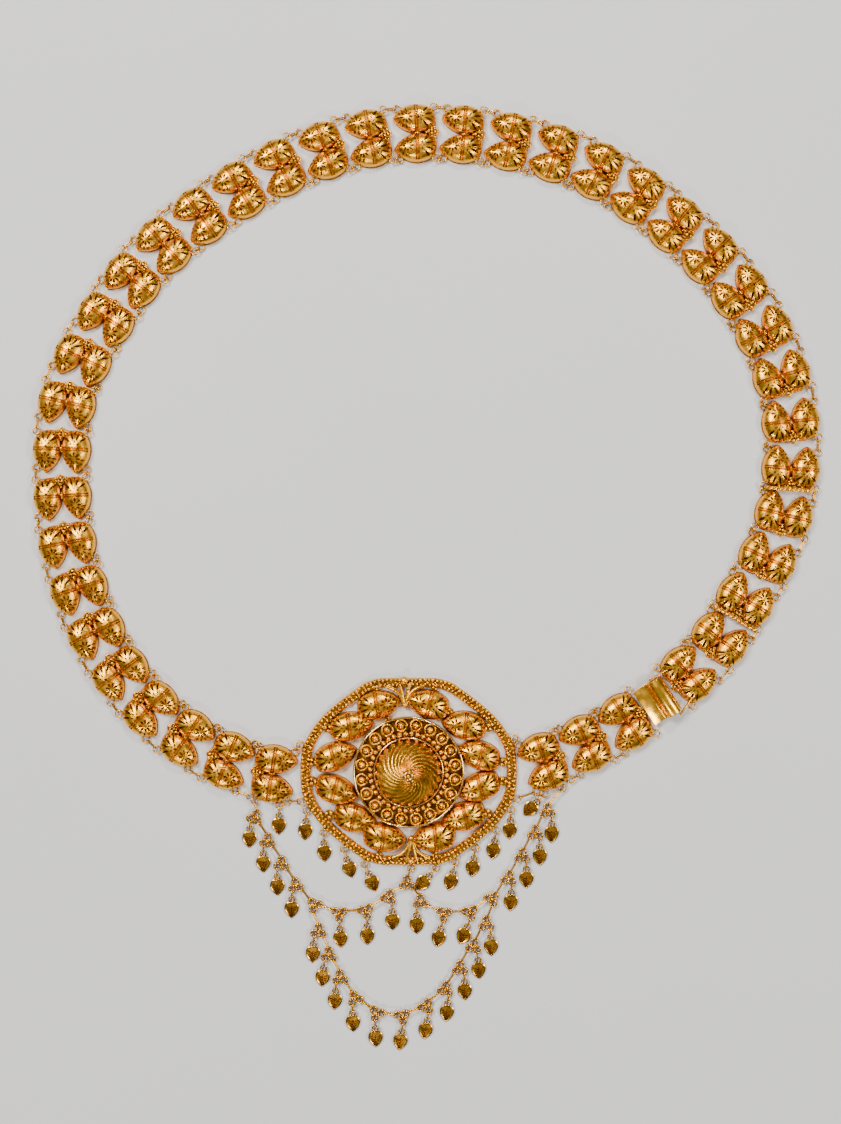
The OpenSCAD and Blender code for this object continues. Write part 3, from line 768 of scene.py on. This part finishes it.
# Cups: each a ring over a round bottom, with a bead in it. Granules stand inside the row
# of cups: way from the cup's own way, distance from the middle, height, radius.
CUPS = 20
CUP_AT = 16.95
CUP_Z = 3.3
BETWEEN = math.pi / CUPS
CUP_BALLS = ((0, CUP_AT, 3.5, 1.4), (0, CUP_AT, 1.95, 1.9), (-0.078, 13.8, 3.2, 1.08),
    (0.078, 13.8, 3.2, 1.08), (0, 15.0, 3.1, 0.8), (BETWEEN, 13.2, 2.4, 0.8))
cup_rim = ring(1.95, 0.45, 0, 0, 0, 20, 8)
for k in range(CUPS):
    a = 2 * math.pi * (k + 0.5) / CUPS
    place = move(Matrix.Identity(4), CUP_AT * math.cos(a), CUP_AT * math.sin(a), CUP_Z)
    med.append(copy_of(cup_rim, place, "cup"))
    for off, far, z, r in CUP_BALLS:
        med.append(ball(far * math.cos(a + off), far * math.sin(a + off), z, r))
bpy.data.objects.remove(cup_rim)

# Boss: a fluted outline drawn in and turned ring by ring up to the apex.
# Columns: share of the radius, height
BOSS_R = 12.1
BOSS_RINGS = ((1.0, 3.6), (0.985, 4.6), (0.955, 5.6), (0.91, 6.6), (0.85, 7.7), (0.78, 8.7),
    (0.70, 9.7), (0.61, 10.6), (0.52, 11.4), (0.43, 12.05), (0.34, 12.6), (0.26, 13.0),
    (0.18, 13.3), (0.10, 13.5))
# Flutes: how many, how far they cut in at the foot, how deep they are, their turn in degrees
FLUTES = 24
FLUTE_IN = 0.05
FLUTE_DEEP = 0.6
BOSS_TURN = 115
start()
bpy.ops.mesh.primitive_circle_add(vertices=FLUTES * 6, radius=BOSS_R * MM, fill_type="NGON")
boss = bpy.context.object
for v in boss.data.vertices:
    a = math.atan2(v.co.y, v.co.x)
    v.co *= 1 - FLUTE_IN * abs(math.sin(a * FLUTES / 2))
edit_all()
share_now, height_now = 1.0, 0.0
for share, height in BOSS_RINGS:
    push(0, 0, height - height_now)
    grow = share / share_now
    bpy.ops.transform.resize(value=(grow, grow, 1), center_override=(0, 0, 0))
    twist = -math.radians(BOSS_TURN) * (share_now - share)
    bpy.ops.transform.rotate(value=twist, orient_axis="Z", center_override=(0, 0, 0))
    share_now, height_now = share, height
face_out()
for v in boss.data.vertices:
    share, height = min(BOSS_RINGS, key=lambda row: abs(row[1] * MM - v.co.z))
    if v.co.z > MM:
        a = math.atan2(v.co.y, v.co.x) - math.radians(BOSS_TURN) * (1 - share)
        v.co.z -= FLUTE_DEEP * share ** 0.5 * abs(math.sin(a * FLUTES / 2)) * MM
smooth(boss, 38)
med.append(boss)
boss_wire = ring(12.3, 0.36, 0, 0, 3.5, 96, 8)
med.append(boss_wire)
apex_wire = ring(1.3, 0.42, 0, 0, 13.9, 24, 8)
med.append(apex_wire)
med.append(ball(0, 0, 13.75, 0.8))
APEX = {"granules": 8, "far": 2.2, "z": 13.35, "r": 0.5}
for k in range(APEX["granules"]):
    a = 2 * math.pi * k / APEX["granules"]
    med.append(ball(APEX["far"] * math.cos(a), APEX["far"] * math.sin(a), APEX["z"], APEX["r"]))

# Fans of wire close the rim above and below, each rod bent through three points: x, y.
# A bead sits where a fan meets the rim, and a smaller one where its rods meet.
FAN_Z = 1.9
FAN_R = 0.72
FANS = (
    (((-2.1, 24.2), (-2.4, 29.4), (-8.2, 30.8)), ((-1.8, 24.2), (-2.2, 28.8), (-3.6, 32.0))),
    (((-1.0, 24.2), (-0.6, 28.8), (0.8, 32.0)), ((-0.7, 24.2), (-0.4, 29.4), (5.4, 30.8))),
    (((0.4, -24.2), (0.1, -29.4), (-5.7, -30.8)), ((0.7, -24.2), (0.3, -28.8), (-1.1, -32.0))),
    (((1.3, -24.2), (1.7, -28.8), (3.1, -32.0)), ((1.6, -24.2), (1.9, -29.4), (7.7, -30.8))),
)
for pair in FANS:
    for a, b, c in pair:
        curve = []
        for k in range(9):
            t = k / 8
            p = Vector(a) * (1 - t) ** 2 + Vector(b) * 2 * t * (1 - t) + Vector(c) * t * t
            curve.append((p.x, p.y, FAN_Z))
        rod = wire(curve, FAN_R, 8, "fan")
        smooth(rod, 50)
        med.append(rod)
FAN_BEADS = ((-1.6, 32.6, 1.8, 1.7), (0.9, -32.4, 1.6, 1.5), (-1.4, 23.9, 1.9, 1.2), (1.0, -23.9, 1.9, 1.2))
for bead in FAN_BEADS:
    med.append(ball(*bead))

# Eyelets round the rim, each moved square to the nearest edge: x, y, height
RIM_EYES = (
    (-38.8, 9.6, 1.6), (-38.8, -10.6, 1.6), (38.0, 12.0, 1.6), (38.7, -9.6, 1.6), (0.9, -34.4, 1.2),
    (-36.9, -14.2, 1.2), (-30.7, -22.0, 1.2), (-23.9, -28.8, 1.2), (-16.5, -34.1, 1.2),
    (9.9, -34.7, 1.2), (17.0, -32.6, 1.2), (24.2, -27.6, 1.2), (31.0, -20.6, 1.2), (37.2, -14.0, 1.2))
EYE_OUT = 1.15


def at_rim(x, y):
    """A point moved square to the rim's nearest straight side, to just outside it."""
    best = None
    for a, b in zip(flat_rim, flat_rim[1:] + flat_rim[:1]):
        edge = (b - a).normalized()
        out = Vector((edge.y, -edge.x))
        off = (Vector((x, y)) - a).dot(out)
        if best is None or off > best[0]:
            best = (off, out)
    return Vector((x, y)) + best[1] * (EYE_OUT - best[0])


for x, y, z in RIM_EYES:
    p = at_rim(x, y)
    med.append(eye(p.x, p.y, z))
# The boss's painted crevice shade is lighter than the rest of the medallion's, so the boss reads brighter.
boss_gold = gold("boss_gold", (1.0, 0.47, 0.035), (0.50, 0.26, 0.02), 0.22, 0.05)
medallion_gold = gold("medallion_gold", (1.0, 0.465, 0.03), (0.32, 0.135, 0.008), 0.26, 0.1)
# Painted shade: the seat's gold is near black-brown, so the gaps between the cups read as deep shadow.
painted_shade_seat_gold = gold("painted_shade_seat_gold", (0.30, 0.12, 0.012), (0.10, 0.035, 0.003), 0.4, 0.05)
# Painted highlight: the wires on the strip, round the boss and at the apex are polished and also painted a
# paler gold so they read as bright glints.
burnished_painted_highlight = gold("burnished_painted_highlight_gold", (1.0, 0.66, 0.22), (0.6, 0.24, 0.03), 0.12, 0.01)
paints = {boss: boss_gold, seat: painted_shade_seat_gold}
for part in (strip_wire, boss_wire, apex_wire):
    paints[part] = burnished_painted_highlight
for part in med:
    part.data.materials.clear()
    part.data.materials.append(paints.get(part, medallion_gold))
medallion = joined(med, "medallion_openwork")
medallion.data.transform(Matrix.Translation(Vector((MEDALLION.x, MEDALLION.y, 0)) * MM))
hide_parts("medallion")
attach(medallion, "root")

# Swags: trefoils of three short coils of wire, two turns each, soldered round a granule.
# Columns: x, y, way that the ring carrying a drop points, way its drop hangs or none.
LEFT = ((-63.0, -86.9, 190, 268), (-58.4, -95.4, 203, 270), (-53.4, -103.6, 206, 270),
    (-48.2, -111.4, 218, 268), (-41.6, -118.4, 250, 0), (-32.6, -121.4, 270, 273),
    (-23.1, -120.5, 288, 270), (-14.9, -115.5, 311, 272))
RIGHT = ((-3.4, -117.2, 214, 270), (5.0, -121.5, 264, 256), (14.4, -121.0, 285, 247),
    (22.2, -116.2, 288, 0), (28.2, -108.9, 320, 266), (33.2, -100.8, 327, 270),
    (37.8, -92.6, 326, 272), (42.2, -84.6, 332, 270))
LOWER = ((-40.1, -127.8, 205, 266), (-36.4, -136.3, 210, 264), (-32.3, -144.5, 213, 266),
    (-26.9, -152.0, 231, 272), (-19.2, -157.3, 248, 272), (-10.0, -158.4, 281, 262),
    (-1.4, -154.8, 307, 260), (5.5, -148.6, 319, 264), (10.8, -141.1, 328, 272),
    (15.6, -133.3, 320, 274), (20.2, -125.2, 330, 272))
CENTRE = (-8.3, -110.6, 90, 0)
COIL_AT = 1.68
JOIN_Z = 1.2
turns = []
for k in range(3):
    a = 2 * math.pi * k / 3
    for z in (-0.24, 0.24):
        turns.append(ring(1.18, 0.33, COIL_AT * math.cos(a), COIL_AT * math.sin(a), z, 20, 8))
    turns.append(ball(-0.95 * math.cos(a), -0.95 * math.sin(a), 0.5, 0.42))
turns.append(ball(0, 0, 0.42, 0.7))
trefoil = joined(turns, "trefoil_master")
trefoil_gold = gold("trefoil_gold", (0.92, 0.44, 0.04), (0.40, 0.17, 0.012), 0.2, 0.03)
for name, units in (("swag_left", LEFT + (CENTRE,)), ("swag_right", RIGHT), ("swag_lower", LOWER)):
    copies = []
    for x, y, way, hang in units:
        turn = Matrix.Rotation(math.radians(way), 4, "Z")
        copies.append(copy_of(trefoil, move(turn, x + SHIFT.x, y + SHIFT.y, JOIN_Z), "unit"))
    done(joined(copies, name + "_trefoils"), trefoil_gold, "trefoil_gold", name)
bpy.data.objects.remove(trefoil)

# Drops: each a leaf cut from flat sheet with a loop at its head, the lower half engraved
# with ribs that meet on the middle line; they hang loose and lie nearly flat.
DROP_HALF = ((0.0, -7.1), (0.6, -6.6), (1.3, -5.95), (1.95, -5.15), (2.45, -4.2), (2.65, -3.3),
    (2.55, -2.4), (2.1, -1.6), (1.4, -1.05))
DROP_T = 0.5
outline = [Vector(p) for p in DROP_HALF] + [Vector((-x, y)) for x, y in DROP_HALF[:0:-1]]
plate_mesh = bpy.data.meshes.new("drop_plate")
verts = [Vector((p.x, p.y, -DROP_T / 2)) * MM for p in outline]
plate_mesh.from_pydata(verts, [], [tuple(range(len(outline)))])
plate = placed(plate_mesh, "drop_plate")
pick(plate)
edit_all()
push(0, 0, DROP_T * 0.7)
bpy.ops.mesh.inset(thickness=0.3 * MM)
bpy.ops.transform.translate(value=(0, 0, DROP_T * 0.3 * MM))
bpy.ops.mesh.inset(thickness=0.2 * MM)
bpy.ops.transform.translate(value=(0, 0, -0.12 * MM))
face_out()

# Ribs: four pairs that slope up from the middle line, each pair lower and shorter
RIB = {"pairs": 4, "y": -3.1, "lower": 0.9, "wide": 1.95, "shorter": 0.38, "z": 0.2, "r": 0.33}
ribs = []
for k in range(RIB["pairs"]):
    y = RIB["y"] - RIB["lower"] * k
    for side in (1, -1):
        wide = RIB["wide"] - RIB["shorter"] * k
        slope = [(0, y - 0.55, RIB["z"]), (side * wide, y + 0.35, RIB["z"])]
        ribs.append(wire(slope, RIB["r"], 4, "rib"))
ribs.append(wire([(0, -2.6, RIB["z"]), (0, -6.5, RIB["z"])], 0.24, 4, "rib"))
cut_out(plate, joined(ribs, "ribs"))
edit_all()
bpy.ops.mesh.remove_doubles(threshold=0.01 * MM)
bpy.ops.mesh.dissolve_degenerate(threshold=0.002 * MM)
bpy.ops.object.mode_set(mode="OBJECT")
smooth(plate, 25)
loop = ring(1.03, 0.3, 0, 0, 0, 24, 8)
drop = joined([plate, loop, ball(0.95, -1.2, 0, 0.3), ball(-0.95, -1.2, 0, 0.3)], "drop_master")
drop_gold = gold("drop_gold", (0.66, 0.31, 0.035), (0.14, 0.05, 0.006), 0.22, 0.04)
REACH = 3.8
SLOPE = 6


def hung(x, y, way):
    """A drop that hangs by a wire link from the ring at x, y, and lies with a slight slope."""
    a = math.radians(way)
    hole = Vector((x + REACH * math.cos(a), y + REACH * math.sin(a))) + SHIFT
    turn = Matrix.Rotation(a + math.pi / 2, 4, "Z") @ Matrix.Rotation(math.radians(SLOPE), 4, "X")
    return copy_of(drop, move(turn, hole.x, hole.y, JOIN_Z), "drop")


def unit_drops(units):
    made = []
    for x, y, way, hang in units:
        if hang:
            a = math.radians(way)
            made.append(hung(x + COIL_AT * math.cos(a), y + COIL_AT * math.sin(a), hang))
    return made


for name, units in (("drops_left", LEFT), ("drops_right", RIGHT), ("drops_lower", LOWER)):
    done(joined(unit_drops(units), name + "_leaves"), drop_gold, "drop_gold", name)
# Drops of the medallion: x, y of the eyelet, way the drop lies
MED_DROPS = ((-36.9, -14.2, 266), (-30.7, -22.0, 272), (-23.9, -28.8, 286), (-16.5, -34.1, 292),
    (9.9, -34.7, 228), (17.0, -32.6, 256), (24.2, -27.6, 262), (31.0, -20.6, 262), (37.2, -14.0, 266))
loose = []
for x, y, way in MED_DROPS:
    p = at_rim(x, y) + MEDALLION - SHIFT
    loose.append(hung(p.x, p.y, way))
# Drops of the first link of each strand: link, x and y of the eyelet, way the drop lies
LINK_DROPS = ((1, -3.8, 10.7, 268), (39, -3.8, -10.7, 228))
for number, x, y, way in LINK_DROPS:
    place, turn = link_place(number)
    cos, sin = math.cos(turn), math.sin(turn)
    p = place - SHIFT + Vector((x * cos - y * sin, x * sin + y * cos))
    loose.append(hung(p.x, p.y, way))
done(joined(loose, "drops_medallion_leaves"), drop_gold, "drop_gold", "drops_medallion")

# Joining rings: plain round drawn wire, soldered shut, between links, trefoils and drops.
# Their meshes are kept as they come from the frame, and take only their gold.
WIRES = ("rings_outer", "rings_inner", "joins_left", "joins_right", "joins_lower", "joins_medallion")
wire_gold = gold("wire_gold", (0.78, 0.36, 0.03), (0.30, 0.12, 0.008), 0.2, 0.02)
for name in WIRES:
    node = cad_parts[name]
    node.data.materials.clear()
    node.data.materials.append(wire_gold)
for master in (leaf, vented, granule, eyelet, crown, link_master, drop):
    bpy.data.objects.remove(master)

low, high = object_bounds()
